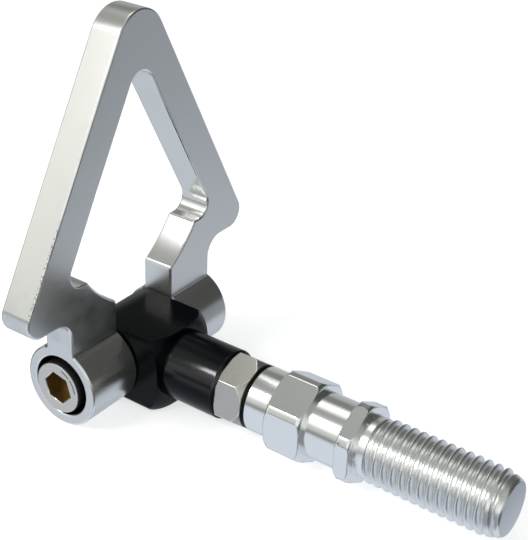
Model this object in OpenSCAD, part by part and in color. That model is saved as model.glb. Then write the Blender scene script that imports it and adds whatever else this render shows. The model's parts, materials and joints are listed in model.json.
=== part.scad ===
// Folding tow eye: a machined loop that swings on a head, a lock nut and a screwed adapter.
// The X axis is the thread's axis, pointing out of the thread's free end. The pivot lies along Y and +Z is up.
// The origin is the centre of the flange's seat, where the flange stops against the car's towing socket.

/* [Eye plate] */
// Height of the loop's top above the pivot
eye_top = 99.4; // [94:0.2:110]
// Width of the loop over its two lower corners
eye_w = 89; // [84:0.2:100]
// Thickness of the plate
plate_t = 9.6; // [8:0.2:12]
// Width of the two legs and of the bar over the window
leg_w = 10.6; // [9:0.2:12]
// Radius of the loop's rounded top
apex_r = 9.5; // [8:0.1:12]
// Radius of the two lower corners
corner_r = 5; // [3:0.1:6]
// Height of the plate's lower edge above the pivot
foot_z = 22; // [20:0.2:24]
// Radius of the hollow corner between the lower edge and the neck
neck_fillet = 5.5; // [3:0.1:6]

/* [Window] */
// Radius of the window's top corner
win_apex_r = 4.6; // [3:0.1:6]
// Radius of the window's two lower corners
win_corner_r = 4; // [3:0.1:5]
// Height of the window's lower corners above the pivot
win_floor = 30.8; // [30:0.2:33]
// Distance from the middle to the edge where the window's shoulders start down
shoulder_y = 22.4; // [20:0.2:23]
// Height at which the shoulders run out into the slot
shoulder_z = 20.3; // [19:0.2:23]
// Radius of the shoulders' shallow hollow
shoulder_hollow_r = 39; // [30:1:80]

/* [Knuckles] */
// Outside diameter of the knuckles
knuckle_d = 23.8; // [22:0.2:25]
// Length over both knuckles
knuckle_span = 58.4; // [54:0.2:62]
// Width of the slot between the knuckles
slot_w = 23; // [21.6:0.2:24]
// Diameter of the counterbore that takes the bolt's head
counterbore_d = 17.4; // [16.4:0.1:18]
// Depth of the counterbore
counterbore_depth = 7.4; // [6:0.2:10]

/* [Pivot bolt] */
// Diameter of the bolt's plain shank, which is the hinge pin
bolt_d = 9; // [8:0.1:10]
// Diameter of the bolt's threaded end
bolt_thread_d = 8; // [7:0.1:8]
// Diameter of the bolt's head
bolt_head_d = 14.9; // [13:0.1:15.6]
// Height of the bolt's head, which stands a little proud of the knuckle
bolt_head_h = 8.7; // [6:0.1:10]
// Width across the flats of the socket in the bolt's head
socket_af = 8.1; // [6:0.1:8]
// Depth of that socket
socket_depth = 4.6; // [3:0.1:5]
// How far the bolt's end stays inside the far knuckle
bolt_end_short = 1; // [0.5:0.1:4]

/* [Swivel head] */
// Height of the head's block, between its two flats
head_h = 22.8; // [21.4:0.2:23]
// Distance from the pivot to the end of the round shank
head_l = 36.4; // [32:0.2:42]
// Distance from the pivot to the front of the block's turned shoulder
head_front = 18.8; // [18:0.1:22]
// Radius that rounds the long edges of the block
head_edge_r = 1.5; // [0.5:0.1:3]
// Diameter of the round shank
shank_d = 19.8; // [19:0.2:21]
// Chamfer on the shank's end
shank_chamfer = 0.7; // [0.4:0.1:1]
// Depth of the shank's threaded hole
socket_hole_depth = 17; // [14:0.5:20]

/* [Lock nut] */
// Width across the nut's flats
nut_af = 18; // [17:0.2:19]
// Height of the nut
nut_h = 9.5; // [7:0.2:11]
// Length of the taper that rounds the nut's corners at its outer end
nut_taper = 3.3; // [2:0.1:4]
// How far that taper cuts inside the flats
nut_taper_in = 0.4; // [0.1:0.1:0.8]
// Length of the taper at its inner end
nut_bevel = 0.8; // [0.4:0.1:1.2]

/* [Adapter] */
// Diameter of the adapter's two plain rounds
round_d = 18.2; // [17.6:0.1:19]
// Length of the plain round beside the nut
collar_l = 7.7; // [4:0.2:10]
// Width across the flats of the hexagon
hex_af = 21.4; // [20:0.1:22.4]
// Diameter over the turned corners of the hexagon
hex_corner_d = 23.6; // [22.6:0.1:25]
// Length of the hexagon
hex_l = 11; // [8:0.2:14]
// Radius that rounds the ends of the hexagon's corners
hex_round = 1.3; // [0.5:0.1:3]
// Length of the plain round between the hexagon and the flange
neck_l = 10.4; // [7:0.1:12]
// Width across the flats of the flange
flange_af = 20.6; // [20:0.1:21.6]
// Diameter over the turned corners of the flange
flange_corner_d = 22.6; // [21.8:0.1:24]
// Thickness of the flange
flange_t = 4.2; // [4:0.1:7]
// Radius that rounds the ends of the flange's corners
flange_round = 0.9; // [0.5:0.1:2]
// Diameter of the stud that holds the nut and the head
stud_d = 12; // [10:0.2:12]
// How far the stud stops short of the bottom of its hole
stud_short = 2; // [1:0.5:4]

/* [Thread] */
// Outside diameter of the thread
thread_d = 17.6; // [16:0.1:18]
// Distance between two crests
thread_pitch = 2.57; // [2:0.1:3]
// Depth of the thread
thread_depth = 1.35; // [1:0.05:1.4]
// Width of the flat on each crest
crest_flat = 0.35; // [0.2:0.05:0.5]
// Length from the flange's seat to the thread's free end
thread_reach = 40.2; // [34:0.2:50]
// Length of the plain relief beside the seat
relief_l = 2.6; // [2.2:0.1:4]
// Diameter of that relief
relief_d = 16.4; // [15.6:0.1:16.8]
// Chamfer at the thread's free end
tip_chamfer = 1.8; // [1:0.1:2.2]

/* [Fits] */
// Clearance on each side between the head and the knuckles
side_gap = 0.15; // [0.1:0.05:0.3]
// Clearance round the hinge pin in the head
pin_gap = 0.05; // [0.02:0.01:0.1]
// Clearance round a threaded end in its hole
thread_gap = 0.05; // [0.02:0.01:0.1]

/* [Hidden] */
$fn = 96;
over = 1;

// Places along the X axis, from the seat back to the pivot
flange_x = -flange_t;
hex_front_x = flange_x - neck_l;
hex_back_x = hex_front_x - hex_l;
adapter_x = hex_back_x - collar_l;
nut_x = adapter_x - nut_h;
pivot_x = nut_x - head_l;

// The legs of the loop: both circles of a side touch the leg's outer line, whose outward direction is leg_dir
apex_c = [0, eye_top - apex_r];
corner_c = [eye_w / 2 - corner_r, foot_z + corner_r];
run = corner_c - apex_c;
leg_angle = atan2(run[1], run[0]) + acos((apex_r - corner_r) / norm(run));
leg_dir = [cos(leg_angle), sin(leg_angle)];
inner_line = leg_dir * apex_c + apex_r - leg_w;
win_apex_c = [0, (inner_line - win_apex_r) / leg_dir[1]];
win_corner_z = win_floor + win_corner_r;
win_corner_c = [(inner_line - win_corner_r - leg_dir[1] * win_corner_z) / leg_dir[0], win_corner_z];

// The shoulder's hollow is an arc over the straight line from its top edge to the slot
shoulder_a = [shoulder_y, win_floor];
shoulder_b = [slot_w / 2, shoulder_z];
chord = shoulder_b - shoulder_a;
chord_l = norm(chord);
hollow_dir = [-chord[1], chord[0]] / chord_l;
hollow_rise = sqrt(pow(shoulder_hollow_r, 2) - pow(chord_l / 2, 2));
hollow_sag = shoulder_hollow_r - hollow_rise;
hollow_c = (shoulder_a + shoulder_b) / 2 - hollow_dir * hollow_rise;

knuckle_r = knuckle_d / 2;
knuckle_l = (knuckle_span - slot_w) / 2;
far_hole_d = bolt_thread_d + 2 * thread_gap;
pin_hole_d = bolt_d + 2 * pin_gap;

head_w = slot_w - 2 * side_gap;
block_corner_r = norm([head_w / 2 - head_edge_r, head_h / 2 - head_edge_r]) + head_edge_r;
shoulder_r = block_corner_r - shank_d / 2;
stud_hole_d = stud_d + 2 * thread_gap;

seat_y = -knuckle_span / 2 + counterbore_depth;
hex_turn = 30;
nut_turn = 22;
corner_scale = 1 / cos(30);

crest_r = thread_d / 2;
root_r = crest_r - thread_depth;
flank = thread_depth * tan(30);
crest_first = relief_l + flank + crest_flat / 2;
relief_r = relief_d / 2;
crest_count = floor((thread_reach - crest_first) / thread_pitch + 0.3);

function mirrored(points) = [for (i = [len(points) - 1:-1:0]) [-points[i][0], points[i][1]]];

// A flat outline with its first direction along Y and its second along Z, made as thick as given about x = 0
module upright(thickness) {
    rotate([90, 0, 90])
        linear_extrude(thickness, center = true)
            children();
}

// A profile of [radius, place along X] turned round the X axis
module turned() {
    rotate([0, 90, 0])
        rotate_extrude()
            children();
}

module rod_x(d, x0, x1) {
    translate([x0, 0, 0])
        rotate([0, 90, 0])
            cylinder(d = d, h = x1 - x0);
}

module rod_y(d, y0, y1) {
    translate([0, y0, 0])
        rotate([-90, 0, 0])
            cylinder(d = d, h = y1 - y0);
}

// A hexagonal bar along X with a corner at the angle turn from Y
module hex_x(af, x0, x1, turn) {
    translate([x0, 0, 0])
        rotate([turn, 0, 0])
            rotate([90, 0, 90])
                cylinder(d = af * corner_scale, h = x1 - x0, $fn = 6);
}

// The loop's outline without its window: three circles joined by their tangents, on a neck as wide as the knuckles
module loop_outline() {
    half = [
        apex_c + apex_r * leg_dir,
        corner_c + corner_r * leg_dir,
        [corner_c[0], foot_z],
    ];
    polygon(concat(half, mirrored(half)));
    translate(apex_c)
        circle(apex_r);
    for (side = [-1, 1]) {
        translate([side * corner_c[0], corner_c[1]])
            circle(corner_r);
        neck_corner(side);
    }
    translate([-knuckle_span / 2, 0])
        square([knuckle_span, foot_z + over]);
}

// The hollow corner under the plate's lower edge
module neck_corner(side) {
    edge = knuckle_span / 2;
    difference() {
        translate([side > 0 ? edge - over : -edge - neck_fillet, foot_z - neck_fillet])
            square([neck_fillet + over, neck_fillet + over / 2]);
        translate([side * (edge + neck_fillet), foot_z - neck_fillet])
            circle(neck_fillet);
    }
}

// The loop's window, which runs down over two hollow shoulders into the slot for the head
module window_outline() {
    half = [
        win_apex_c + win_apex_r * leg_dir,
        win_corner_c + win_corner_r * leg_dir,
        [win_corner_c[0], win_floor],
        shoulder_a,
        shoulder_b,
        [slot_w / 2, -knuckle_r - over],
    ];
    polygon(concat(half, mirrored(half)));
    translate(win_apex_c)
        circle(win_apex_r);
    for (side = [0, 1])
        mirror([side, 0])
            window_side();
}

module window_side() {
    translate(win_corner_c)
        circle(win_corner_r);
    intersection() {
        translate(hollow_c)
            circle(shoulder_hollow_r, $fn = 360);
        polygon([
            shoulder_a,
            shoulder_a + 2 * hollow_sag * hollow_dir,
            shoulder_b + 2 * hollow_sag * hollow_dir,
            shoulder_b,
        ]);
    }
}

// The plate with its loop, and the two knuckles that are cut from the same block
module eye() {
    color("gainsboro")
        translate([pivot_x, 0, 0])
            difference() {
                union() {
                    upright(plate_t)
                        loop_outline();
                    rod_y(knuckle_d, -knuckle_span / 2, knuckle_span / 2);
                }
                upright(knuckle_d + 2 * over)
                    window_outline();
                rod_y(counterbore_d, -knuckle_span / 2 - over, seat_y);
                rod_y(pin_hole_d, seat_y - over, -slot_w / 2 + over);
                rod_y(far_hole_d, slot_w / 2 - over, knuckle_span / 2 + over);
            }
}

// The block between the knuckles is round behind the pivot and flat above and below it. Its front is turned
// about the shank's axis, so each flat ends in an arc.
module swivel_head() {
    color([0.06, 0.06, 0.07])
        difference() {
            union() {
                intersection() {
                    head_block();
                    turned()
                        shoulder_profile();
                }
                rod_x(shank_d, pivot_x + head_front - over, nut_x - shank_chamfer);
                turned()
                    shank_end_profile();
            }
            translate([pivot_x, 0, 0])
                rod_y(pin_hole_d, -head_w / 2 - over, head_w / 2 + over);
            rod_x(stud_hole_d, nut_x - socket_hole_depth, nut_x + over);
        }
}

module head_block() {
    translate([pivot_x, 0, 0])
        intersection() {
            union() {
                rod_y(head_h, -head_w / 2, head_w / 2);
                translate([0, -head_w / 2, -head_h / 2])
                    cube([head_front, head_w, head_h]);
            }
            upright(3 * head_h)
                block_section();
        }
}

// The block's section across the X axis, a square with rounded corners
module block_section() {
    in_y = head_w / 2 - head_edge_r;
    in_z = head_h / 2 - head_edge_r;
    square([head_w, 2 * in_z], center = true);
    square([2 * in_y, head_h], center = true);
    for (y = [-in_y, in_y], z = [-in_z, in_z])
        translate([y, z])
            circle(head_edge_r);
}

// A quarter round that falls from the block's corners to the shank
module shoulder_profile() {
    back = pivot_x - head_h;
    front = pivot_x + head_front;
    reach = block_corner_r + over / 2;
    translate([0, back])
        square([reach, front - shoulder_r - back]);
    translate([0, back])
        square([reach - shoulder_r, front - back]);
    translate([reach - shoulder_r, front - shoulder_r])
        circle(shoulder_r);
}

module shank_end_profile() {
    polygon([
        [0, nut_x - shank_chamfer - over],
        [shank_d / 2, nut_x - shank_chamfer - over],
        [shank_d / 2, nut_x - shank_chamfer],
        [shank_d / 2 - shank_chamfer, nut_x],
        [0, nut_x],
    ]);
}

// Socket-head screw: its plain shank is the hinge pin, and its end is screwed into the far knuckle
module pivot_bolt() {
    end_y = knuckle_span / 2 - bolt_end_short;
    color([0.72, 0.72, 0.68])
        translate([pivot_x, 0, 0])
            difference() {
                union() {
                    rod_y(bolt_head_d, seat_y - bolt_head_h, seat_y);
                    rod_y(bolt_d, seat_y, slot_w / 2);
                    rod_y(bolt_thread_d, slot_w / 2, end_y);
                }
                translate([0, seat_y - bolt_head_h - over, 0])
                    rotate([-90, 0, 0])
                        rotate([0, 0, 12])
                            cylinder(d = socket_af * corner_scale, h = socket_depth + over, $fn = 6);
            }
}

// Hexagonal nut with tapered corners, screwed on the adapter's stud and tight between the head and the adapter.
// Each taper is drawn on past the corners, so that it cuts through them.
module jam_nut() {
    corner = nut_af / 2 * corner_scale;
    inner = shank_d / 2 - shank_chamfer;
    outer = nut_af / 2 - nut_taper_in;
    bevel_slope = nut_bevel / (corner - inner);
    taper_slope = nut_taper / (corner - outer);
    color([0.66, 0.66, 0.63])
        difference() {
            intersection() {
                hex_x(nut_af, nut_x, adapter_x, nut_turn);
                turned()
                    polygon([
                        [0, nut_x],
                        [inner, nut_x],
                        [corner + over, nut_x + nut_bevel + over * bevel_slope],
                        [corner + over, adapter_x - nut_taper - over * taper_slope],
                        [outer, adapter_x],
                        [0, adapter_x],
                    ]);
            }
            rod_x(stud_hole_d, nut_x - over, adapter_x + over);
        }
}

// A length of hexagonal bar whose corners are turned round, with rounded ends
module turned_hex(af, corner_d, x0, x1, round_r) {
    corner = corner_d / 2;
    intersection() {
        hex_x(af, x0, x1, hex_turn);
        turned() {
            translate([0, x0 + round_r])
                square([corner, x1 - x0 - 2 * round_r]);
            translate([0, x0])
                square([corner - round_r, x1 - x0]);
            for (x = [x0 + round_r, x1 - round_r])
                translate([corner - round_r, x])
                    circle(round_r);
        }
    }
}

// The adapter is turned from one bar: stud, round, hexagon, round, flange, relief and thread
module threaded_adapter() {
    color([0.82, 0.83, 0.85])
        union() {
            rod_x(stud_d, nut_x - socket_hole_depth + stud_short, adapter_x + over);
            rod_x(round_d, adapter_x, flange_x + over);
            turned_hex(hex_af, hex_corner_d, hex_back_x, hex_front_x, hex_round);
            turned_hex(flange_af, flange_corner_d, flange_x, 0, flange_round);
            thread();
        }
}

// The crests stand as rings a pitch apart on the thread's core
module thread() {
    tip_r = crest_r - tip_chamfer;
    turned()
        intersection() {
            polygon(concat(
                [[0, -over], [relief_r, -over], [relief_r, relief_l - flank / 2], [root_r, relief_l]],
                [for (i = [0:crest_count - 1], p = crest(crest_first + i * thread_pitch)) p],
                [[root_r, thread_reach], [0, thread_reach]]
            ));
            polygon([
                [0, -over],
                [crest_r + over, -over],
                [crest_r + over, thread_reach - tip_chamfer - over],
                [tip_r, thread_reach],
                [0, thread_reach],
            ]);
        }
}

function crest(x) = [
    [root_r, x - crest_flat / 2 - flank],
    [crest_r, x - crest_flat / 2],
    [crest_r, x + crest_flat / 2],
    [root_r, x + crest_flat / 2 + flank],
];

eye();
swivel_head();
pivot_bolt();
jam_nut();
threaded_adapter();
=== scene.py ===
import json
import math

import bpy
import bmesh
from mathutils import Matrix, Vector


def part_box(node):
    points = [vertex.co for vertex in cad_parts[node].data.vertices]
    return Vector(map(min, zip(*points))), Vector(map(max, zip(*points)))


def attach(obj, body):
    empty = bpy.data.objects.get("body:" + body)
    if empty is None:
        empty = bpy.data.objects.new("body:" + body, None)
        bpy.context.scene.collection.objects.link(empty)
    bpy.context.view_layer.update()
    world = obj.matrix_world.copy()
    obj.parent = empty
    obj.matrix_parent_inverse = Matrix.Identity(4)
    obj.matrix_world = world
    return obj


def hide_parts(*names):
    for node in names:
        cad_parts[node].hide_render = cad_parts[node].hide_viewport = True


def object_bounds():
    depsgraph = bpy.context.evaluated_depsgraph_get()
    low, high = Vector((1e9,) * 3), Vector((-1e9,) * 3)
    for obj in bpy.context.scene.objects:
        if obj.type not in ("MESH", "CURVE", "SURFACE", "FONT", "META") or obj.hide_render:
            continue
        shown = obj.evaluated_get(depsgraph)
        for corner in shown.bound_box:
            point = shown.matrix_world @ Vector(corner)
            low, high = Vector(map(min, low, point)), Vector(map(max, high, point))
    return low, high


bl_info = {
    "name": "Screw-in Folding Tow Eye",
    "version": (1, 0, 0),
    "blender": (4, 5, 0),
    "location": "View3D > Sidebar > Tow Eye",
    "description": "Dresses the packed tow eye: broken edges, a cut thread, metal and enamel finishes, and a studio",
    "category": "Object",
}

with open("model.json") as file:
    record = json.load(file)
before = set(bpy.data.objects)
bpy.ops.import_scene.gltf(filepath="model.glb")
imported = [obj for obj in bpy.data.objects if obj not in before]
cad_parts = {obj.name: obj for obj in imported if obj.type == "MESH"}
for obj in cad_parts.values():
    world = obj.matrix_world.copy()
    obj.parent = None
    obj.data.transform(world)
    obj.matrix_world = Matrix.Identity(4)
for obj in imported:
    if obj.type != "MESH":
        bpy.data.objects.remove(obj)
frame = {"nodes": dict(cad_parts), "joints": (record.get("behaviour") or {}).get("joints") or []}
CAD_BOX = [list(corner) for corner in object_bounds()]
MM = 0.001
PIVOT_X = frame["joints"][0]["pos_m"][0]
FLOAT, VECTOR = "NodeSocketFloat", "NodeSocketVector"
WHITE = (1.0, 1.0, 1.0, 1.0)
NOISE_MIDDLE = 0.5

# Marks on the finishes, from use, from the last cuts, and painted shade and light: a colour and a roughness each
# smudges, with painted light over a dark reflection
SMUDGE_AND_PAINTED_LIGHT = ((0.46, 0.50, 0.57), 0.28)
NICK = ((0.13, 0.135, 0.155), 0.50)
# painted shade in the counterbore
COUNTERBORE_SHADE = ((0.030, 0.029, 0.026), 0.40)
SOCKET_SCALE = ((0.26, 0.17, 0.058), 0.40)
WRENCH_SCORE = ((0.06, 0.06, 0.055), 0.45)
# painted shade on the bolt head's side
BOLT_SIDE_SHADE = ((0.055, 0.057, 0.055), 0.45)
# painted shade on the nut's cone beside the adapter
NUT_CONE_SHADE = ((0.020, 0.020, 0.018), 0.45)
# painted shade in the seam at the collar
COLLAR_SEAM_SHADE = ((0.02, 0.02, 0.018), 0.40)
# painted shade, with some oil, in the thread's roots
THREAD_ROOT_SHADE_AND_OIL = ((0.36, 0.37, 0.38), 0.40)
# painted shade on the faced tip, deepest towards its top
FACED_TIP_SHADE = ((0.36, 0.38, 0.41), 0.34)

# The thread's flank, from a crest to the root beside it: shares of the way, and of the depth that is left there
FLANK_PROFILE = ((0.0, 1.0), (0.20, 0.92), (0.38, 0.67), (0.66, 0.20), (0.84, 0.03), (1.0, 0.0))


# Sizes and colours that a user would change


class TowEyeSizes(bpy.types.PropertyGroup):
    eye_edge: bpy.props.FloatProperty(
        name="Eye Edge Break", description="Width of the bevel round the faces of the eye",
        default=0.65 * MM, min=0.0, subtype="DISTANCE", unit="LENGTH")
    head_edge: bpy.props.FloatProperty(
        name="Swivel Head Edge Break", description="Width of the bevel on the enamelled swivel head",
        default=0.35 * MM, min=0.0, subtype="DISTANCE", unit="LENGTH")
    bolt_edge: bpy.props.FloatProperty(
        name="Bolt Edge Break", description="Width of the bevel on the pivot bolt",
        default=0.4 * MM, min=0.0, subtype="DISTANCE", unit="LENGTH")
    turned_edge: bpy.props.FloatProperty(
        name="Turned Edge Break", description="Width of the bevel on the nut and on the adapter's hex",
        default=0.22 * MM, min=0.0, subtype="DISTANCE", unit="LENGTH")
    thread_pitch: bpy.props.FloatProperty(
        name="Thread Pitch", description="Advance of the thread in one turn",
        default=2.57 * MM, min=0.1 * MM, subtype="DISTANCE", unit="LENGTH")
    thread_radius: bpy.props.FloatProperty(
        name="Thread Radius", description="Radius of the thread at its crests",
        default=8.8 * MM, min=1.0 * MM, subtype="DISTANCE", unit="LENGTH")
    thread_depth: bpy.props.FloatProperty(
        name="Thread Depth", description="Depth of the thread from crest to root",
        default=1.35 * MM, min=0.0, subtype="DISTANCE", unit="LENGTH")
    thread_reach: bpy.props.FloatProperty(
        name="Thread Reach", description="Length of the threaded end from its seat",
        default=40.199 * MM, min=1.0 * MM, subtype="DISTANCE", unit="LENGTH")
    first_crest: bpy.props.FloatProperty(
        name="First Crest", description="Where a crest crosses the side that faces +Y, from the seat",
        default=2.26 * MM, subtype="DISTANCE", unit="LENGTH")
    relief_radius: bpy.props.FloatProperty(
        name="Relief Radius", description="Radius of the turned relief between the seat and the thread",
        default=8.2 * MM, min=0.0, subtype="DISTANCE", unit="LENGTH")
    relief_length: bpy.props.FloatProperty(
        name="Relief Length", description="Length of the turned relief",
        default=2.6 * MM, min=0.0, subtype="DISTANCE", unit="LENGTH")
    thread_around: bpy.props.IntProperty(
        name="Thread Facets", description="Facets round one turn of the thread", default=160, min=16, max=400)
    thread_per_turn: bpy.props.IntProperty(
        name="Rings a Turn", description="Rings along one pitch of the thread", default=16, min=6, max=40)


class TowEyeFinishes(bpy.types.PropertyGroup):
    anodised: bpy.props.FloatVectorProperty(
        name="Anodised Eye", description="Colour of the satin anodised aluminium of the eye",
        default=(0.72, 0.72, 0.70), size=3, min=0.0, max=1.0, subtype="COLOR")
    enamel: bpy.props.FloatVectorProperty(
        name="Black Enamel", description="Colour of the gloss enamel on the swivel head",
        default=(0.0020, 0.0026, 0.0040), size=3, min=0.0, max=1.0, subtype="COLOR")
    bolt: bpy.props.FloatVectorProperty(
        name="Bolt Steel", description="Colour of the plated pivot bolt",
        default=(0.66, 0.64, 0.60), size=3, min=0.0, max=1.0, subtype="COLOR")
    nut: bpy.props.FloatVectorProperty(
        name="Nut Steel", description="Colour of the jam nut",
        default=(0.55, 0.54, 0.50), size=3, min=0.0, max=1.0, subtype="COLOR")
    turned: bpy.props.FloatVectorProperty(
        name="Turned Steel", description="Colour of the bright turned adapter",
        default=(0.86, 0.87, 0.86), size=3, min=0.0, max=1.0, subtype="COLOR")


class TowEyeStudio(bpy.types.PropertyGroup):
    floor_colour: bpy.props.FloatVectorProperty(
        name="Floor", description="Colour of the studio floor",
        default=(0.80, 0.81, 0.83), size=3, min=0.0, max=1.0, subtype="COLOR")
    below_colour: bpy.props.FloatVectorProperty(
        name="Pale Surround", description="Colour of the pale surround that bright metal mirrors from below",
        default=(0.70, 0.755, 0.845), size=3, min=0.0, max=1.0, subtype="COLOR")
    above_colour: bpy.props.FloatVectorProperty(
        name="Dim Surround", description="Colour of the dim studio above the object",
        default=(0.40, 0.415, 0.395), size=3, min=0.0, max=1.0, subtype="COLOR")
    key_power: bpy.props.FloatProperty(
        name="Front Box", description="Power of the soft box in front of the object",
        default=2.3, min=0.0, subtype="POWER", unit="POWER")
    top_power: bpy.props.FloatProperty(
        name="Top Box", description="Power of the soft box above the object",
        default=0.2, min=0.0, subtype="POWER", unit="POWER")


# Node helpers. Where they take a value, it is a number (a colour, for a colour) or another node's output.


def link(tree, source, target):
    tree.links.new(source, target)


def put(tree, value, socket):
    """Sets a socket to a value, or links an output to it."""
    if isinstance(value, bpy.types.NodeSocket):
        link(tree, value, socket)
    else:
        socket.default_value = value


def node(tree, kind, **values):
    made = tree.nodes.new(kind)
    for name, value in values.items():
        setattr(made, name, value)
    return made


def maths(tree, operation, *values):
    """One Math node."""
    made = node(tree, "ShaderNodeMath", operation=operation)
    for socket, value in zip(made.inputs, values):
        put(tree, value, socket)
    return made.outputs[0]


def times(tree, first, *rest):
    """The product of several values."""
    return maths(tree, "MULTIPLY", first, times(tree, *rest)) if rest else first


def between(tree, share, low, high):
    """The value at a share of the way from low to high."""
    return maths(tree, "MULTIPLY_ADD", maths(tree, "SUBTRACT", high, low), share, low)


def ramp(tree, value, low, high, out_low=0.0, out_high=1.0):
    """A smooth Map Range node from low..high to out_low..out_high, held at its ends."""
    made = node(tree, "ShaderNodeMapRange", clamp=True, interpolation_type="SMOOTHSTEP")
    for name, number in (("From Min", low), ("From Max", high), ("To Min", out_low), ("To Max", out_high)):
        made.inputs[name].default_value = number
    link(tree, value, made.inputs["Value"])
    return made.outputs["Result"]


def mixed(tree, factor, a, b):
    """A colour Mix node."""
    made = node(tree, "ShaderNodeMix", data_type="RGBA")
    put(tree, factor, made.inputs[0])
    for socket, value in ((made.inputs[6], a), (made.inputs[7], b)):
        put(tree, value if isinstance(value, bpy.types.NodeSocket) else (*value, 1.0), socket)
    return made.outputs[2]


def scaled(colour, factor):
    return tuple(factor * part for part in colour)


def axes(tree, vector):
    """The X, Y and Z of a vector."""
    split = node(tree, "ShaderNodeSeparateXYZ")
    link(tree, vector, split.inputs[0])
    return tuple(split.outputs)


def noise(tree, where, scale, detail=2.0, roughness=0.5):
    made = node(tree, "ShaderNodeTexNoise")
    link(tree, where, made.inputs["Vector"])
    for name, value in (("Scale", scale), ("Detail", detail), ("Roughness", roughness)):
        put(tree, value, made.inputs[name])
    return made.outputs["Fac"]


def shader_group(name, inputs, outputs):
    """An empty shader node group; returns the tree, its input node's outputs and its output node's inputs."""
    tree = bpy.data.node_groups.new(name, "ShaderNodeTree")
    for label, kind, default in inputs:
        tree.interface.new_socket(label, in_out="INPUT", socket_type=kind).default_value = default
    for label, kind in outputs:
        tree.interface.new_socket(label, in_out="OUTPUT", socket_type=kind)
    return tree, node(tree, "NodeGroupInput").outputs, node(tree, "NodeGroupOutput").inputs


def surface_grain(name):
    """Fine pits and broad clouds, shared by every finish: a shade, a roughness and a height."""
    tree, given, result = shader_group(
        name,
        [("Vector", VECTOR, (0, 0, 0)), ("Grain Scale", FLOAT, 2600.0), ("Grain Amount", FLOAT, 0.10),
         ("Cloud Scale", FLOAT, 60.0), ("Cloud Amount", FLOAT, 0.06), ("Roughness", FLOAT, 0.3),
         ("Roughness Change", FLOAT, 0.06)],
        [("Shade", FLOAT), ("Roughness", FLOAT), ("Height", FLOAT)])
    fine = noise(tree, given["Vector"], given["Grain Scale"], detail=3.0, roughness=0.65)
    cloud = noise(tree, given["Vector"], given["Cloud Scale"], detail=4.0)
    speck = maths(tree, "SUBTRACT", fine, NOISE_MIDDLE)
    patch = maths(tree, "SUBTRACT", cloud, NOISE_MIDDLE)
    shade = maths(tree, "MULTIPLY_ADD", speck, given["Grain Amount"], 1.0)
    shade = maths(tree, "MULTIPLY_ADD", patch, given["Cloud Amount"], shade)
    speck_share, smoothest = 0.6, 0.02
    uneven = maths(tree, "MULTIPLY_ADD", speck, speck_share, patch)
    rough = maths(tree, "MULTIPLY_ADD", uneven, given["Roughness Change"], given["Roughness"])
    link(tree, shade, result["Shade"])
    link(tree, maths(tree, "MAXIMUM", rough, smoothest), result["Roughness"])
    link(tree, fine, result["Height"])
    return tree


def worn_edge(name):
    """The broken edges of a piece, from its own attribute, worn unevenly: a mask for a brighter, smoother metal."""
    tree, given, result = shader_group(
        name, [("Vector", VECTOR, (0, 0, 0)), ("Patch Scale", FLOAT, 220.0), ("Wear", FLOAT, 0.8)],
        [("Mask", FLOAT)])
    edge = node(tree, "ShaderNodeAttribute", attribute_name="broken_edge").outputs["Fac"]
    patches = noise(tree, given["Vector"], given["Patch Scale"], detail=3.0)
    least_worn = 0.45
    uneven = ramp(tree, patches, 0.30, 0.62, least_worn, 1.0)
    link(tree, maths(tree, "MULTIPLY", maths(tree, "MULTIPLY", edge, uneven), given["Wear"]), result["Mask"])
    return tree


def lathe_lines(name):
    """Fine rings left by a lathe tool round the X axis: a shade and a height."""
    tree, given, result = shader_group(
        name, [("Vector", VECTOR, (0, 0, 0)), ("Lines Scale", FLOAT, 5200.0), ("Amount", FLOAT, 0.08)],
        [("Shade", FLOAT), ("Height", FLOAT)])
    lines = node(tree, "ShaderNodeTexNoise", noise_dimensions="1D")
    lines.inputs["Detail"].default_value = 2.0
    link(tree, axes(tree, given["Vector"])[0], lines.inputs["W"])
    link(tree, given["Lines Scale"], lines.inputs["Scale"])
    line = maths(tree, "SUBTRACT", lines.outputs["Fac"], NOISE_MIDDLE)
    link(tree, maths(tree, "MULTIPLY_ADD", line, given["Amount"], 1.0), result["Shade"])
    link(tree, lines.outputs["Fac"], result["Height"])
    return tree


def label_of(name):
    return name.replace("_", " ").title()


def placed(tree, build, where, **values):
    """A shared node group, built at its first use, with this material's own values; returns its outputs."""
    group = label_of(build.__name__)
    made = node(tree, "ShaderNodeGroup", node_tree=bpy.data.node_groups.get(group) or build(group))
    link(tree, where, made.inputs["Vector"])
    for name, value in values.items():
        made.inputs[label_of(name)].default_value = value
    return made.outputs


# Materials


def new_material(name):
    """A material with one Principled BSDF; returns the material, its tree, the shader and the Object coordinates."""
    material = bpy.data.materials.new(name)
    material.use_nodes = True
    tree = material.node_tree
    tree.nodes.clear()
    output = node(tree, "ShaderNodeOutputMaterial")
    shader = node(tree, "ShaderNodeBsdfPrincipled")
    link(tree, shader.outputs[0], output.inputs["Surface"])
    return material, tree, shader, node(tree, "ShaderNodeTexCoord").outputs["Object"]


def coloured(tree, shader, colour, shade, worn, worn_colour):
    """Base Color: a colour times a shade, and another colour where a broken edge is worn."""
    tinted = node(tree, "ShaderNodeVectorMath", operation="SCALE")
    tinted.inputs[0].default_value = colour
    link(tree, shade, tinted.inputs["Scale"])
    link(tree, mixed(tree, worn, tinted.outputs[0], worn_colour), shader.inputs["Base Color"])


def embossed(tree, shader, height, strength, distance):
    """Normal: a bump from a height."""
    bump = node(tree, "ShaderNodeBump")
    bump.inputs["Strength"].default_value = strength
    bump.inputs["Distance"].default_value = distance
    link(tree, height, bump.inputs["Height"])
    link(tree, bump.outputs["Normal"], shader.inputs["Normal"])


def marked(tree, shader, mask, colour, roughness):
    """Lays another colour and roughness over a finished material, where the mask is 1."""
    base, rough = shader.inputs["Base Color"], shader.inputs["Roughness"]
    link(tree, mixed(tree, mask, base.links[0].from_socket, colour), base)
    link(tree, between(tree, mask, rough.links[0].from_socket, roughness), rough)


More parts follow.
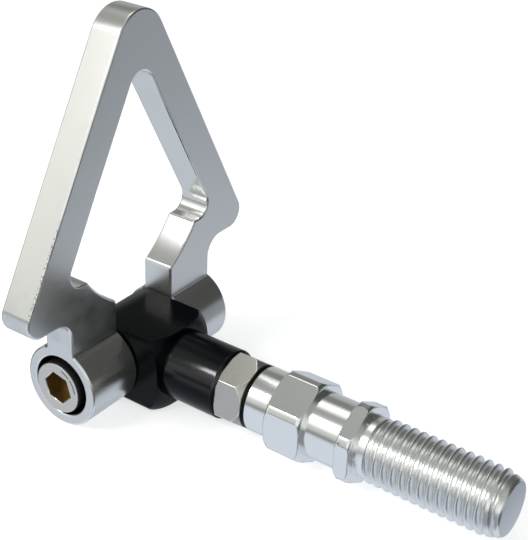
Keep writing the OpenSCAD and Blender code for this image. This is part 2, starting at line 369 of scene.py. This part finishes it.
def bare_metal(name, colour, roughness, worn_colour, worn_roughness, grain_scale, grain_amount, cloud_amount, bump,
               metallic=1.0, lathe=0.0, roughness_change=0.08):
    """One bare metal finish: grain and clouds, bright worn edges, and relief from the same grain.

    Returns what new_material returns.
    """
    material, tree, shader, where = new_material(name)
    shader.inputs["Metallic"].default_value = metallic
    grain = placed(tree, surface_grain, where, grain_scale=grain_scale, grain_amount=grain_amount,
                   cloud_amount=cloud_amount, roughness=roughness, roughness_change=roughness_change)
    worn = placed(tree, worn_edge, where)["Mask"]
    shade, height = grain["Shade"], grain["Height"]
    if lathe:
        lines = placed(tree, lathe_lines, where, amount=lathe)
        line_height = 0.7
        shade = maths(tree, "MULTIPLY", shade, lines["Shade"])
        height = maths(tree, "MULTIPLY_ADD", lines["Height"], line_height, height)
    coloured(tree, shader, colour, shade, worn, worn_colour)
    link(tree, between(tree, worn, grain["Roughness"], worn_roughness), shader.inputs["Roughness"])
    embossed(tree, shader, height, strength=bump, distance=0.06 * MM)
    return material, tree, shader, where


def turned_metal(name, colour, roughness):
    """Bright metal turned on a lathe; returns the material, its tree, its shader and the axes of its coordinates."""
    material, tree, shader, where = bare_metal(
        name, colour, roughness, worn_colour=(0.90, 0.90, 0.88), worn_roughness=0.24, grain_scale=2200.0,
        grain_amount=0.05, cloud_amount=0.05, bump=0.02, metallic=0.97, lathe=0.04, roughness_change=0.04)
    return material, tree, shader, axes(tree, where)


def black_enamel(name, colour):
    """Gloss black enamel with a faint orange peel, rubbed at the broken edge."""
    material, tree, shader, where = new_material(name)
    shader.inputs["Specular IOR Level"].default_value = 0.11
    # A painted highlight: a clear coat only on the near upper side of the shank, where the front box's streak falls.
    x, y, z = axes(tree, where)
    shank = ramp(tree, x, -60.8 * MM, -59.8 * MM)
    upper = ramp(tree, z, 1.0 * MM, 4.0 * MM)
    near_side = ramp(tree, y, -4.0 * MM, -5.8 * MM)
    link(tree, times(tree, shank, upper, near_side), shader.inputs["Coat Weight"])
    shader.inputs["Coat Roughness"].default_value = 0.13
    grain = placed(tree, surface_grain, where, grain_scale=900.0, grain_amount=0.5, cloud_scale=45.0,
                   cloud_amount=1.2, roughness=0.19, roughness_change=0.04)
    worn = placed(tree, worn_edge, where, wear=0.35)["Mask"]
    coloured(tree, shader, colour, grain["Shade"], worn, worn_colour=(0.03, 0.035, 0.04))
    link(tree, grain["Roughness"], shader.inputs["Roughness"])
    embossed(tree, shader, grain["Height"], strength=0.10, distance=0.05 * MM)
    return material


def from_pivot(tree, x, z):
    """The distance from the pivot's axis."""
    aside = maths(tree, "SUBTRACT", x, PIVOT_X)
    return maths(tree, "SQRT", maths(tree, "MULTIPLY_ADD", aside, aside, maths(tree, "MULTIPLY", z, z)))


def disc(tree, distance, radius):
    """1 where a distance is under a radius, 0 over it."""
    soft = 0.06 * MM
    return ramp(tree, distance, radius - soft, radius + soft, 1.0, 0.0)


# Mesh helpers


def merged_copy(node_name):
    """A bmesh of a CAD node with its loose triangles merged and its flat faces made whole again."""
    bm = bmesh.new()
    bm.from_mesh(frame["nodes"][node_name].data)
    bmesh.ops.remove_doubles(bm, verts=bm.verts, dist=0.002 * MM)
    bmesh.ops.dissolve_degenerate(bm, edges=bm.edges, dist=0.001 * MM)
    bmesh.ops.dissolve_limit(bm, angle_limit=math.radians(0.4), verts=bm.verts, edges=bm.edges)
    bm.normal_update()
    return bm


def in_scene(name, data):
    """A new object for the data, linked to the scene."""
    made = bpy.data.objects.new(name, data)
    bpy.context.scene.collection.objects.link(made)
    return made


def evaluated_mesh(holder):
    """The mesh that an object's modifiers make. The object and its modifiers go, and the mesh under them stays."""
    bpy.context.view_layer.update()
    result = bpy.data.meshes.new_from_object(holder.evaluated_get(bpy.context.evaluated_depsgraph_get()))
    holder.modifiers.clear()
    bpy.data.objects.remove(holder)
    return result


def smoothed(mesh, angle):
    """Smooth shading, with the edges over an angle in degrees kept sharp."""
    mesh.polygons.foreach_set("use_smooth", [True] * len(mesh.polygons))
    mesh.set_sharp_from_angle(angle=math.radians(angle))


def finished(bm, name, width, segments, angle=26, broken=lambda edge: True):
    """Turns the bmesh into a piece: its sharp outer edges bevelled, and the bevels marked in an attribute.

    An edge is sharp over the angle in degrees, and broken tells which sharp edges take the bevel.
    """
    weights = bm.edges.layers.float.new("bevel_weight_edge")
    for edge in bm.edges:
        if len(edge.link_faces) == 2 and edge.calc_face_angle(0.0) > math.radians(angle):
            edge[weights] = 1.0 if edge.is_convex and broken(edge) else 0.0
    mesh = bpy.data.meshes.new(name)
    bm.to_mesh(mesh)
    bm.free()
    rough = in_scene(name, mesh)
    # The bevel's faces take the second of two material slots, which tells them from the others.
    bevel_slot = 1
    mesh.materials.append(None)
    mesh.materials.append(None)
    bevel = rough.modifiers.new("Broken Edges", "BEVEL")
    bevel.limit_method = "WEIGHT"
    bevel.width = width
    bevel.segments = segments
    bevel.use_clamp_overlap = False
    bevel.material = bevel_slot
    result = evaluated_mesh(rough)
    bpy.data.meshes.remove(mesh)
    marks = [1.0 if face.material_index == bevel_slot else 0.0 for face in result.polygons]
    result.materials.clear()
    result.attributes.new("broken_edge", "FLOAT", "FACE").data.foreach_set("value", marks)
    result.polygons.foreach_set("material_index", [0] * len(result.polygons))
    smoothed(result, 35)
    rough = in_scene(name, result)
    normals = rough.modifiers.new("Flat Faces", "WEIGHTED_NORMAL")
    normals.keep_sharp = True
    normals.weight = 100
    final = evaluated_mesh(rough)
    bpy.data.meshes.remove(result)
    final.name = name
    return in_scene(name, final)


def dressed(piece, material, slot, body, *nodes):
    """Gives a piece its finish and its body, and hides the CAD nodes that it stands for. The slot is not used."""
    piece.data.materials.clear()
    piece.data.materials.append(material)
    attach(piece, body)
    if nodes:
        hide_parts(*nodes)


# Pieces


class TOWEYE_OT_eye(bpy.types.Operator):
    """The machined eye: the plate, its window and its two knuckles, with every edge broken"""

    bl_idname = "tow_eye.eye"
    bl_label = "Machined Eye"

    def execute(self, context):
        sizes, finish = context.scene.tow_eye_sizes, context.scene.tow_eye_finishes
        piece = finished(merged_copy("eye"), "machined_eye", sizes.eye_edge, 3)
        metallic = 0.94
        material, tree, shader, where = bare_metal(
            "satin_anodised_aluminium", finish.anodised, 0.25, worn_colour=(0.95, 0.95, 0.93), worn_roughness=0.20,
            grain_scale=2600.0, grain_amount=0.16, cloud_amount=0.10, bump=0.10, metallic=metallic)
        x, y, z = axes(tree, where)
        # Soft smudges on the near side of the plate's foot, above the knuckle, paler, bluer and less metallic: partly
        # smudges from handling, partly painted light that lifts the dark reflection there.
        patches = ramp(tree, noise(tree, where, 190.0, detail=1.0), 0.34, 0.68, 0.06, 0.30)
        foot = times(tree, ramp(tree, z, 41.0 * MM, 26.0 * MM), ramp(tree, z, 12.2 * MM, 15.0 * MM))
        near_side = ramp(tree, y, -4.0 * MM, -10.0 * MM)
        smudge_and_light = times(tree, patches, foot, near_side)
        marked(tree, shader, smudge_and_light, *SMUDGE_AND_PAINTED_LIGHT)
        metallic_loss = 0.40
        link(tree, maths(tree, "MULTIPLY_ADD", smudge_and_light, -metallic_loss, metallic), shader.inputs["Metallic"])
        # The lower half of the front edge, on the near side, is nicked all along.
        nicks = ramp(tree, noise(tree, where, 2600.0), 0.50, 0.58, 0.0, 0.70)
        edge = node(tree, "ShaderNodeAttribute", attribute_name="broken_edge").outputs["Fac"]
        lower_half = times(tree, ramp(tree, z, 58.0 * MM, 44.0 * MM), ramp(tree, z, 28.2 * MM, 29.2 * MM))
        front = ramp(tree, x, PIVOT_X, PIVOT_X + 1.0 * MM)
        near_end = ramp(tree, y, -30.0 * MM, -32.0 * MM)
        marked(tree, shader, times(tree, nicks, edge, lower_half, front, near_end), *NICK)
        # Painted shade darkens the counterbore.
        counterbore = disc(tree, from_pivot(tree, x, z), 8.82 * MM)
        past_floor = ramp(tree, y, -21.2 * MM, -21.6 * MM)
        marked(tree, shader, times(tree, counterbore, past_floor), *COUNTERBORE_SHADE)
        dressed(piece, material, "eye_steel", "eye", "eye")
        return {"FINISHED"}


class TOWEYE_OT_swivel_head(bpy.types.Operator):
    """The swivel head and its shank in gloss black enamel"""

    bl_idname = "tow_eye.swivel_head"
    bl_label = "Swivel Head"

    def execute(self, context):
        sizes, finish = context.scene.tow_eye_sizes, context.scene.tow_eye_finishes
        # Only the shank's free end has a broken edge: the block is rounded in the CAD.
        free_end = -46.0 * MM
        piece = finished(merged_copy("swivel_head"), "enamelled_swivel_head", sizes.head_edge, 2,
                         broken=lambda edge: edge.verts[0].co.x > free_end)
        dressed(piece, black_enamel("gloss_black_enamel", finish.enamel), "black_steel", "shank", "swivel_head")
        return {"FINISHED"}


class TOWEYE_OT_pivot_bolt(bpy.types.Operator):
    """The socket-head pivot bolt in the knuckle's counterbore"""

    bl_idname = "tow_eye.pivot_bolt"
    bl_label = "Pivot Bolt"

    def execute(self, context):
        sizes, finish = context.scene.tow_eye_sizes, context.scene.tow_eye_finishes
        piece = finished(merged_copy("pivot_bolt"), "socket_head_bolt", sizes.bolt_edge, 3)
        material, tree, shader, where = bare_metal(
            "plated_bolt_steel", finish.bolt, 0.36, worn_colour=(0.80, 0.79, 0.75), worn_roughness=0.22,
            grain_scale=1800.0, grain_amount=0.10, cloud_amount=0.08, bump=0.10, metallic=0.85)
        x, y, z = axes(tree, where)
        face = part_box("pivot_bolt")[0].y
        distance = from_pivot(tree, x, z)
        # The broached socket keeps its brown scale.
        socket = disc(tree, distance, 4.78 * MM)
        under_face = ramp(tree, y, face + 0.2 * MM, face + 0.5 * MM)
        above_end = ramp(tree, y, face + 7.0 * MM, face + 6.0 * MM)
        marked(tree, shader, times(tree, socket, under_face, above_end), *SOCKET_SCALE)
        # A wrench has scored the face in an arc on its upper front side, with a break in its middle.
        aside = maths(tree, "SUBTRACT", x, PIVOT_X)
        toward_arc = maths(tree, "MULTIPLY_ADD", aside, 0.77, maths(tree, "MULTIPLY", z, 0.64))
        off_middle = maths(tree, "MULTIPLY_ADD", aside, -0.72, maths(tree, "MULTIPLY", z, 0.70))
        ring = maths(tree, "SUBTRACT", disc(tree, distance, 6.40 * MM), disc(tree, distance, 6.05 * MM))
        arc = times(tree, ring, ramp(tree, toward_arc, 5.0 * MM, 5.2 * MM))
        broken = ramp(tree, maths(tree, "ABSOLUTE", off_middle), 0.1 * MM, 0.3 * MM)
        on_face = ramp(tree, y, face + 0.3 * MM, face + 0.1 * MM)
        marked(tree, shader, times(tree, arc, broken, on_face), *WRENCH_SCORE)
        # Painted shade: the head's side, down in the counterbore, is darkened.
        marked(tree, shader, maths(tree, "SUBTRACT", 1.0, disc(tree, distance, 7.3 * MM)), *BOLT_SIDE_SHADE)
        dressed(piece, material, "bolt_steel", "eye", "pivot_bolt")
        return {"FINISHED"}


class TOWEYE_OT_jam_nut(bpy.types.Operator):
    """The chamfered jam nut between the shank and the adapter"""

    bl_idname = "tow_eye.jam_nut"
    bl_label = "Jam Nut"

    def execute(self, context):
        sizes, finish = context.scene.tow_eye_sizes, context.scene.tow_eye_finishes
        piece = finished(merged_copy("jam_nut"), "chamfered_jam_nut", sizes.turned_edge, 2, angle=20)
        material, tree, shader, where = bare_metal(
            "drawn_nut_steel", finish.nut, 0.40, worn_colour=(0.90, 0.88, 0.82), worn_roughness=0.24,
            grain_scale=1900.0, grain_amount=0.40, cloud_amount=0.08, bump=0.40)
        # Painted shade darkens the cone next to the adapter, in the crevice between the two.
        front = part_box("jam_nut")[1].x
        seam = ramp(tree, axes(tree, where)[0], front - 1.2 * MM, front - 0.8 * MM)
        marked(tree, shader, seam, *NUT_CONE_SHADE)
        dressed(piece, material, "nut_steel", "shank", "jam_nut")
        return {"FINISHED"}


class TOWEYE_OT_adapter(bpy.types.Operator):
    """The turned adapter up to its seat: collar, hex band, neck and hex flange"""

    bl_idname = "tow_eye.adapter"
    bl_label = "Turned Adapter"

    def execute(self, context):
        sizes, finish = context.scene.tow_eye_sizes, context.scene.tow_eye_finishes
        bm = merged_copy("threaded_adapter")
        # The CAD's thread is cut off at the seat and the hole is closed. The cut thread starts inside the flange.
        cut = 0.02 * MM
        bmesh.ops.bisect_plane(bm, geom=bm.verts[:] + bm.edges[:] + bm.faces[:], plane_co=(cut, 0, 0),
                               plane_no=(1, 0, 0), clear_outer=True)
        rim = [edge for edge in bm.edges if edge.is_boundary]
        if not rim:
            raise RuntimeError("the adapter was not cut at its seat")
        bmesh.ops.contextual_create(bm, geom=rim)
        bm.normal_update()
        # The closed hole's rim stays whole, where the cut thread comes out of the flange.
        seat, rim_radius = -0.01 * MM, 8.5 * MM
        piece = finished(bm, "turned_adapter", sizes.turned_edge, 2, angle=24,
                         broken=lambda edge: edge.verts[0].co.x < seat or edge.verts[0].co.yz.length > rim_radius)
        material, tree, shader, (x, _, _) = turned_metal("bright_turned_steel", finish.turned, 0.18)
        # Painted shade darkens the collar where the nut bears on it, in the crevice between the two.
        back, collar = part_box("threaded_adapter")[0].x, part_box("jam_nut")[1].x
        seam = ramp(tree, x, collar + 0.3 * MM, collar + 0.6 * MM, 1.0, 0.0)
        marked(tree, shader, times(tree, seam, maths(tree, "GREATER_THAN", x, back)), *COLLAR_SEAM_SHADE)
        dressed(piece, material, "adapter_steel", "shank", "threaded_adapter")
        return {"FINISHED"}


def cut_thread_tree():
    """Geometry nodes: a closed turned bar whose side is a grid that winds with the thread, so crests follow its rows.

    Root is where the bar starts, inside the flange, and Reach is its far end.
    """
    tree = bpy.data.node_groups.new("Cut Thread", "GeometryNodeTree")
    tree.interface.new_socket("Geometry", in_out="OUTPUT", socket_type="NodeSocketGeometry")
    for label, kind in (("Around", "NodeSocketInt"), ("Rings a Turn", "NodeSocketInt"), ("Pitch", FLOAT),
                        ("Crest Radius", FLOAT), ("Depth", FLOAT), ("Root", FLOAT), ("Reach", FLOAT),
                        ("First Crest", FLOAT), ("Relief Radius", FLOAT), ("Relief Length", FLOAT),
                        ("Material", "NodeSocketMaterial")):
        tree.interface.new_socket(label, in_out="INPUT", socket_type=kind)
    value, result = node(tree, "NodeGroupInput").outputs, node(tree, "NodeGroupOutput")

    def m(operation, *values):
        return maths(tree, operation, *values)

    # The rows slant by a pitch in one turn, so they start a pitch early. The first and the last row are gathered on
    # the axis and close the bar.
    extra_rows = 4.0
    length = m("SUBTRACT", value["Reach"], value["Root"])
    turns = m("DIVIDE", m("ADD", length, value["Pitch"]), value["Pitch"])
    rows = m("ADD", m("CEIL", m("MULTIPLY", turns, value["Rings a Turn"])), extra_rows)
    grid = node(tree, "GeometryNodeMeshGrid")
    grid.inputs["Size X"].default_value = 1.0
    grid.inputs["Size Y"].default_value = 1.0
    link(tree, m("ADD", value["Around"], 1.0), grid.inputs["Vertices X"])
    link(tree, rows, grid.inputs["Vertices Y"])
    across, upward, _ = axes(tree, node(tree, "GeometryNodeInputPosition").outputs[0])
    turn = m("ADD", across, 0.5)
    row = m("ROUND", m("MULTIPLY", m("ADD", upward, 0.5), m("SUBTRACT", rows, 1.0)))
    step = m("DIVIDE", value["Pitch"], value["Rings a Turn"])
    wound = m("MULTIPLY_ADD", m("SUBTRACT", row, 1.0), step, m("SUBTRACT", value["Root"], value["Pitch"]))
    wound = m("MULTIPLY_ADD", turn, value["Pitch"], wound)
    along = m("MINIMUM", m("MAXIMUM", wound, value["Root"]), value["Reach"])

    # The profile, rounded over on the crests and in the roots. Whole turns are added to keep the phase above 0.
    whole_turns = 64.0
    phase = m("SUBTRACT", m("DIVIDE", m("SUBTRACT", along, value["First Crest"]), value["Pitch"]), turn)
    off_crest = m("PINGPONG", m("ADD", phase, whole_turns), 0.5)
    flank = node(tree, "ShaderNodeFloatCurve")
    points = flank.mapping.curves[0].points
    points[0].location = FLANK_PROFILE[0]
    points[1].location = FLANK_PROFILE[-1]
    for place in FLANK_PROFILE[1:-1]:
        points.new(*place)
    flank.mapping.update()
    link(tree, m("MULTIPLY", off_crest, 2.0), flank.inputs["Value"])
    root_radius = m("SUBTRACT", value["Crest Radius"], value["Depth"])
    cut = m("MULTIPLY_ADD", flank.outputs[0], value["Depth"], root_radius)

    # The relief behind the seat, with its small step, runs into the first half turn.
    step_length, step_height = 0.45 * MM, 0.15 * MM
    relief = m("MULTIPLY_ADD", m("LESS_THAN", along, step_length), step_height, value["Relief Radius"])
    past_relief = m("DIVIDE", m("SUBTRACT", along, value["Relief Length"]), value["Pitch"])
    body = between(tree, ramp(tree, past_relief, 0.0, 0.5), relief, cut)

    # The last turns run out in a shallow cone, and the tip is chamfered at 45 degrees. Both are told by how they
    # narrow and by the radius that they have left at the end, as a share of the crest's radius.
    cone_slope, cone_end, chamfer_end = 0.315, 0.839, 0.800
    from_end = m("SUBTRACT", value["Reach"], along)
    cone = m("MULTIPLY_ADD", from_end, cone_slope, m("MULTIPLY", value["Crest Radius"], cone_end))
    chamfer = m("ADD", from_end, m("MULTIPLY", value["Crest Radius"], chamfer_end))
    radius = m("MINIMUM", m("MINIMUM", body, cone), chamfer)
    inner = m("MULTIPLY", m("GREATER_THAN", row, 0.5), m("LESS_THAN", row, m("SUBTRACT", rows, 1.5)))
    radius = m("MULTIPLY", radius, inner)

    angle = m("MULTIPLY", turn, math.tau)
    spot = node(tree, "ShaderNodeCombineXYZ")
    link(tree, along, spot.inputs["X"])
    link(tree, m("MULTIPLY", radius, m("COSINE", angle)), spot.inputs["Y"])
    link(tree, m("MULTIPLY", radius, m("SINE", angle)), spot.inputs["Z"])
    wind = node(tree, "GeometryNodeSetPosition")
    link(tree, grid.outputs["Mesh"], wind.inputs["Geometry"])
    link(tree, spot.outputs[0], wind.inputs["Position"])
    weld = node(tree, "GeometryNodeMergeByDistance")
    weld.inputs["Distance"].default_value = 0.001 * MM
    link(tree, wind.outputs[0], weld.inputs["Geometry"])
    real = node(tree, "GeometryNodeRealizeInstances")
    link(tree, weld.outputs[0], real.inputs["Geometry"])
    paint = node(tree, "GeometryNodeSetMaterial")
    link(tree, real.outputs[0], paint.inputs["Geometry"])
    link(tree, value["Material"], paint.inputs["Material"])
    link(tree, paint.outputs[0], result.inputs[0])
    return tree


class TOWEYE_OT_thread(bpy.types.Operator):
    """The cut thread, one right-handed helix from the relief to the chamfered tip"""

    bl_idname = "tow_eye.thread"
    bl_label = "Cut Thread"

    def execute(self, context):
        sizes, finish = context.scene.tow_eye_sizes, context.scene.tow_eye_finishes
        material, tree, shader, (x, y, z) = turned_metal("cut_thread_steel", scaled(finish.turned, 1.04), 0.27)
        # Painted shade, with some oil, darkens the roots, up to the tip.
        radius, end = sizes.thread_radius, sizes.thread_reach
        distance = maths(tree, "SQRT", maths(tree, "MULTIPLY_ADD", y, y, maths(tree, "MULTIPLY", z, z)))
        root, root_strength = radius - sizes.thread_depth, 0.26
        in_root = ramp(tree, distance, root + 0.1 * MM, root + 0.7 * MM, root_strength, 0.0)
        marked(tree, shader, times(tree, in_root, maths(tree, "LESS_THAN", x, end - 1.2 * MM)), *THREAD_ROOT_SHADE_AND_OIL)
        # The faced tip is rougher and darker, with painted shade deepening towards its top.
        tip = ramp(tree, x, end - 0.08 * MM, end - 0.03 * MM)
        marked(tree, shader, times(tree, tip, ramp(tree, z, -radius, radius, 0.45, 0.85)), *FACED_TIP_SHADE)
        carrier = in_scene("thread_carrier", bpy.data.meshes.new("thread_carrier"))
        cutter = carrier.modifiers.new("Cut Thread", "NODES")
        cutter.node_group = cut_thread_tree()
        values = {
            "Around": sizes.thread_around, "Rings a Turn": sizes.thread_per_turn, "Pitch": sizes.thread_pitch,
            "Crest Radius": radius, "Depth": sizes.thread_depth, "Root": -0.8 * MM, "Reach": end,
            "First Crest": sizes.first_crest, "Relief Radius": sizes.relief_radius,
            "Relief Length": sizes.relief_length, "Material": material,
        }
        for item in cutter.node_group.interface.items_tree:
            if item.in_out == "INPUT":
                cutter[item.identifier] = values[item.name]
        mesh = evaluated_mesh(carrier)
        fewest_faces = 1000
        if len(mesh.polygons) < fewest_faces:
            raise RuntimeError("the thread's node tree made no mesh")
        mesh.name = "cut_thread"
        bm = bmesh.new()
        bm.from_mesh(mesh)
        bmesh.ops.recalc_face_normals(bm, faces=bm.faces)
        bm.to_mesh(mesh)
        bm.free()
        mesh.attributes.new("broken_edge", "FLOAT", "FACE")
        smoothed(mesh, 34)
        dressed(in_scene("cut_thread", mesh), material, "adapter_steel", "shank")
        return {"FINISHED"}


# Studio


def studio_world(studio):
    """A dim studio over a pale surround, both toned by direction so that bright metal mirrors bands of them.

    The camera itself sees white.
    """
    world = bpy.data.worlds.new("studio")
    world.use_nodes = True
    tree = world.node_tree
    tree.nodes.clear()
    output = node(tree, "ShaderNodeOutputWorld")
    light = node(tree, "ShaderNodeBackground")
    white = node(tree, "ShaderNodeBackground")
    white.inputs["Color"].default_value = WHITE
    blend = node(tree, "ShaderNodeMixShader")
    link(tree, node(tree, "ShaderNodeLightPath").outputs["Is Camera Ray"], blend.inputs[0])
    link(tree, light.outputs[0], blend.inputs[1])
    link(tree, white.outputs[0], blend.inputs[2])
    link(tree, blend.outputs[0], output.inputs["Surface"])
    x, y, z = axes(tree, node(tree, "ShaderNodeTexCoord").outputs["Generated"])

    def toward(part, start, full, *tones):
        """0 up to a direction's part of start and 1 from full on, or two tones in place of 0 and 1."""
        return ramp(tree, part, start, full, *tones)

    def both(*masks):
        return times(tree, *masks)

    def toned(start, colour, *rows):
        """Lays shares of a colour over the start, each where its mask is 1."""
        for mask, share in rows:
            start = mixed(tree, mask, start, scaled(colour, share))
        return start

    # The horizon lies just under the middle, and a little higher in the corner past the bright end.
    rise = both(toward(x, 0.50, 0.68), toward(y, 0.62, 0.68))
    below = toward(maths(tree, "MULTIPLY_ADD", rise, -0.12, z), -0.02, -0.11)
    behind = toward(y, -0.05, 0.30)
    pale_colour, dim_colour = tuple(studio.below_colour), tuple(studio.above_colour)
    pale = toned(
        pale_colour, pale_colour,
        # behind the object and past the eye
        (both(toward(y, -0.10, 0.50), toward(x, 0.40, 0.0)), 0.80),
        (both(behind, toward(x, -0.55, -0.80)), 0.35),
        # behind the bright end, dark at the horizon and opening towards the floor
        (both(toward(x, 0.57, 0.62, 1.0, 0.75), toward(x, 0.20, 0.45), toward(y, 0.30, 0.55),
              toward(z, -0.52, -0.32, 0.06, 0.50)), 0.0),
        # past the bright end
        (both(toward(x, 0.63, 0.70), toward(y, 0.68, 0.63)), 0.12),
        # the floor under the camera
        (both(toward(x, -0.08, 0.15), toward(x, 0.62, 0.48), toward(y, -0.25, -0.60)), 0.35),
        # far past the eye
        (toward(x, -0.72, -0.84), 0.12))

    # How far a direction points past the object's bright end, where the studio falls off to dark
    away = maths(tree, "MULTIPLY_ADD", x, 0.9, maths(tree, "MULTIPLY", y, 0.4))
    dim = toned(
        scaled(dim_colour, 1.15), dim_colour,
        (toward(z, 0.15, 0.65), 1.0),
        (both(toward(y, 0.28, 0.50), toward(z, 0.30, 0.55)), 0.50),
        (both(toward(y, -0.20, -0.60), toward(x, -0.70, -0.52), toward(z, 0.26, 0.12)), 0.55),
        (both(behind, toward(away, 0.12, 0.45)), 0.17))
    # A pale wall on the camera's side, from over the horizon up: brightest past the eye, with a dim stretch beside it
    foot = maths(tree, "MULTIPLY_ADD", toward(x, 0.02, 0.35), 0.12, z)
    wall = both(toward(y, -0.25, -0.60), toward(z, 0.75, 0.45), toward(foot, 0.06, 0.22))
    facing = mixed(tree, toward(x, -0.64, -0.46), (1.16, 1.16, 1.10), (0.56, 0.58, 0.56))
    facing = mixed(tree, toward(x, -0.36, -0.12), facing, (0.95, 0.96, 0.95))
    dim = mixed(tree, wall, dim, facing)
    # A dark band, then the glow round the front box and the glow round the top box: how near a direction is to the
    # middle of each, as a dot product.
    for middle, start, full, tone in (
            ((-0.45, -0.25, 0.86), 0.975, 0.997, scaled(dim_colour, 0.84)),
            ((-0.42, -0.68, 0.60), 0.95, 0.985, (1.05, 1.05, 1.02)),
            ((-0.32, 0.22, 0.92), 0.94, 0.978, (1.0, 1.0, 0.97))):
        nearness = maths(tree, "MULTIPLY_ADD", y, middle[1], maths(tree, "MULTIPLY", z, middle[2]))
        nearness = maths(tree, "MULTIPLY_ADD", x, middle[0], nearness)
        dim = mixed(tree, toward(nearness, start, full), dim, tone)
    link(tree, mixed(tree, below, dim, pale), light.inputs["Color"])
    return world


def studio_floor(colour):
    """A matt floor under the object: the camera sees it nearly white, and bright metal mirrors the world instead."""
    side, lowest, glow = 4.0, CAD_BOX[0][2], 0.66
    mesh = bpy.data.meshes.new("studio_floor")
    mesh.from_pydata([(-side, -side, lowest), (side, -side, lowest), (side, side, lowest), (-side, side, lowest)],
                     [], [(0, 1, 2, 3)])
    material, tree, shader, where = new_material("studio_floor_paint")
    shader.inputs["Roughness"].default_value = 0.9
    shader.inputs["Specular IOR Level"].default_value = 0.0
    mottle = ramp(tree, noise(tree, where, 40.0), 0.3, 0.7)
    link(tree, mixed(tree, mottle, tuple(colour), scaled(colour, 0.99)), shader.inputs["Base Color"])
    shader.inputs["Emission Color"].default_value = WHITE
    seen = node(tree, "ShaderNodeLightPath").outputs["Is Camera Ray"]
    link(tree, maths(tree, "MULTIPLY", seen, glow), shader.inputs["Emission Strength"])
    mesh.materials.append(material)
    floor = in_scene("studio_floor", mesh)
    floor.visible_glossy = False
    return floor


def soft_box(name, direction, width, height, power):
    """An area lamp that faces the object's middle from a direction."""
    distance, middle = 0.9, Vector((PIVOT_X * 0.5, 0, 0.02))
    lamp = bpy.data.lights.new(name, "AREA")
    lamp.shape = "RECTANGLE"
    lamp.size = width
    lamp.size_y = height
    lamp.energy = power
    where = Vector(direction).normalized()
    turn = where.to_track_quat("Z", "Y").to_matrix().to_4x4()
    in_scene(name, lamp).matrix_world = Matrix.Translation(where * distance + middle) @ turn


def photo_camera():
    """The camera as it was fitted to the photo: its lens and shift, its place, and the way it looks."""
    view = bpy.data.cameras.new("view")
    view.sensor_fit = "AUTO"
    view.sensor_width = 36.0
    view.lens = 85.53
    view.shift_x = 0.0240
    view.shift_y = -0.0969
    view.clip_start = 0.01
    view.dof.use_dof = False
    place = (0.20623 + PIVOT_X, -0.23478, 0.19867)
    azimuth, elevation, roll = math.radians(35.247), math.radians(26.965), math.radians(1.834)
    back = Vector((math.sin(azimuth) * math.cos(elevation), -math.cos(azimuth) * math.cos(elevation),
                   math.sin(elevation)))
    right = Vector((math.cos(azimuth), math.sin(azimuth), 0.0))
    up = back.cross(right)
    rolled_right = right * math.cos(roll) + up * math.sin(roll)
    rolled_up = up * math.cos(roll) - right * math.sin(roll)
    turn = Matrix((rolled_right, rolled_up, back)).transposed().to_4x4()
    camera = in_scene("view", view)
    camera.matrix_world = Matrix.Translation(place) @ turn
    return camera


class TOWEYE_OT_studio(bpy.types.Operator):
    """The floor, the soft boxes, the surround and the camera"""

    bl_idname = "tow_eye.studio"
    bl_label = "Studio"

    def execute(self, context):
        scene, studio = context.scene, context.scene.tow_eye_studio
        scene.world = studio_world(studio)
        scene.view_settings.view_transform = "Standard"
        floor = studio_floor(studio.floor_colour)
        soft_box("front_soft_box", (-0.36, -0.66, 0.66), 0.36, 0.15, studio.key_power)
        soft_box("top_soft_box", (-0.33, 0.22, 0.92), 0.20, 0.16, studio.top_power)
        scene.camera = photo_camera()
        return {"FINISHED"}


class TOWEYE_PT_panel(bpy.types.Panel):
    bl_label = "Tow Eye"
    bl_idname = "TOWEYE_PT_panel"
    bl_space_type = "VIEW_3D"
    bl_region_type = "UI"
    bl_category = "Tow Eye"

    def draw(self, context):
        layout, scene = self.layout, context.scene
        for group in (scene.tow_eye_sizes, scene.tow_eye_finishes, scene.tow_eye_studio):
            box = layout.box()
            for name in group.bl_rna.properties.keys():
                if name not in ("rna_type", "name"):
                    box.prop(group, name)
        for operator in PIECES:
            layout.operator(operator.bl_idname)


PIECES = (TOWEYE_OT_eye, TOWEYE_OT_swivel_head, TOWEYE_OT_pivot_bolt, TOWEYE_OT_jam_nut, TOWEYE_OT_adapter,
          TOWEYE_OT_thread, TOWEYE_OT_studio)
CLASSES = (TowEyeSizes, TowEyeFinishes, TowEyeStudio, *PIECES, TOWEYE_PT_panel)


def register():
    for item in CLASSES:
        bpy.utils.register_class(item)
    bpy.types.Scene.tow_eye_sizes = bpy.props.PointerProperty(type=TowEyeSizes)
    bpy.types.Scene.tow_eye_finishes = bpy.props.PointerProperty(type=TowEyeFinishes)
    bpy.types.Scene.tow_eye_studio = bpy.props.PointerProperty(type=TowEyeStudio)


def unregister():
    del bpy.types.Scene.tow_eye_studio
    del bpy.types.Scene.tow_eye_finishes
    del bpy.types.Scene.tow_eye_sizes
    for item in reversed(CLASSES):
        bpy.utils.unregister_class(item)


def main():
    register()
    bpy.ops.tow_eye.eye()
    bpy.ops.tow_eye.swivel_head()
    bpy.ops.tow_eye.pivot_bolt()
    bpy.ops.tow_eye.jam_nut()
    bpy.ops.tow_eye.adapter()
    bpy.ops.tow_eye.thread()
    bpy.ops.tow_eye.studio()


if __name__ == "__main__":
    main()
